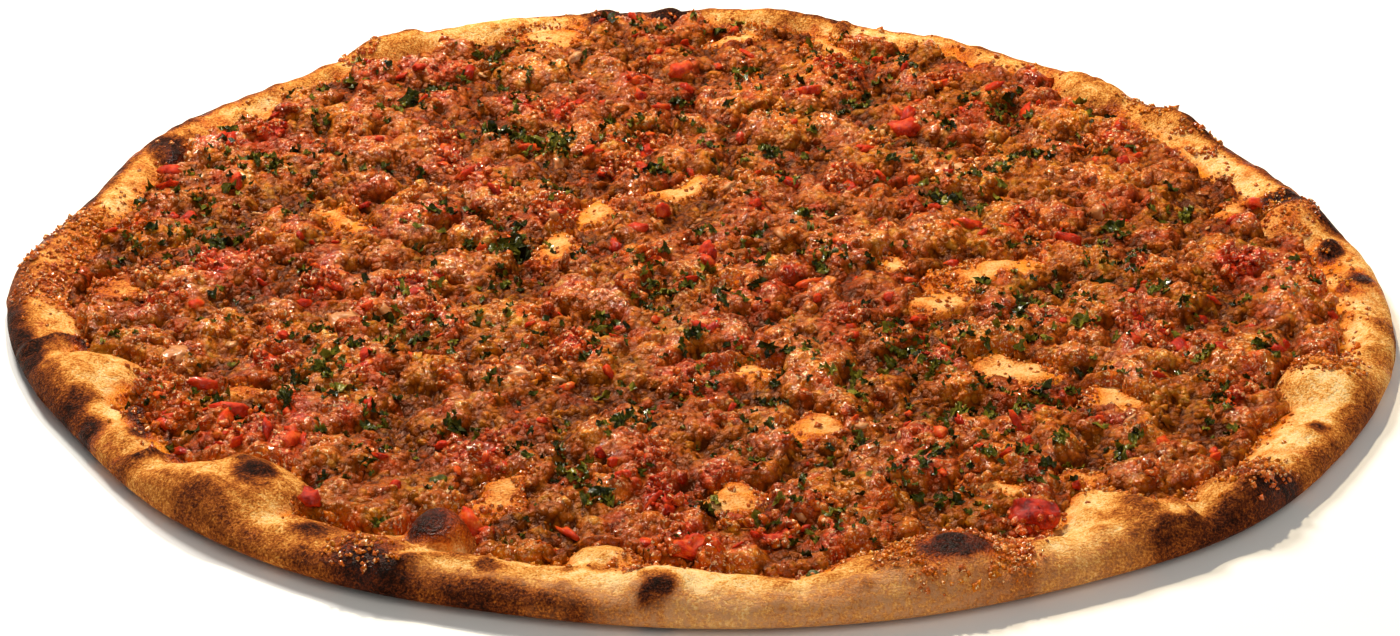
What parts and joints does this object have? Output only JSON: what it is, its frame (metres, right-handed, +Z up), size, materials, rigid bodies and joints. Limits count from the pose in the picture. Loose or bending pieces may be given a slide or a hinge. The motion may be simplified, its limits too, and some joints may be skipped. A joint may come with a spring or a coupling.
{
  "type": "lahmacun",
  "caption": "Round thin flatbread with a puffed, blistered rim, spread with lumpy spiced mince and pieces of tomato and onion.",
  "frame": {"origin": "middle of the flat underside", "axes": "+Z up through the topping, -Y the side with the widest, smoothest rim"},
  "size_m": [0.3054, 0.3016, 0.0133],
  "materials": {
    "baked_dough": "baked crust, dry and slightly rough",
    "spiced_mince": "oily fine crumbs",
    "tomato": "wet and soft",
    "onion": "moist and translucent"
  },
  "bodies": {
    "root": {"dough": "baked_dough", "mince_topping": "spiced_mince", "tomato_01": "tomato", "tomato_02": "tomato", "tomato_03": "tomato", "tomato_04": "tomato", "tomato_05": "tomato", "tomato_06": "tomato", "tomato_07": "tomato", "tomato_08": "tomato", "tomato_09": "tomato", "tomato_10": "tomato", "tomato_11": "tomato", "tomato_12": "tomato", "tomato_13": "tomato", "tomato_14": "tomato", "tomato_15": "tomato", "tomato_16": "tomato", "tomato_17": "tomato", "tomato_18": "tomato", "tomato_19": "tomato", "tomato_20": "tomato", "tomato_21": "tomato", "tomato_22": "tomato", "tomato_23": "tomato", "tomato_24": "tomato", "tomato_25": "tomato", "tomato_26": "tomato", "onion_01": "onion", "onion_02": "onion", "onion_03": "onion", "onion_04": "onion", "onion_05": "onion", "onion_06": "onion", "onion_07": "onion"}
  },
  "joints": []
}
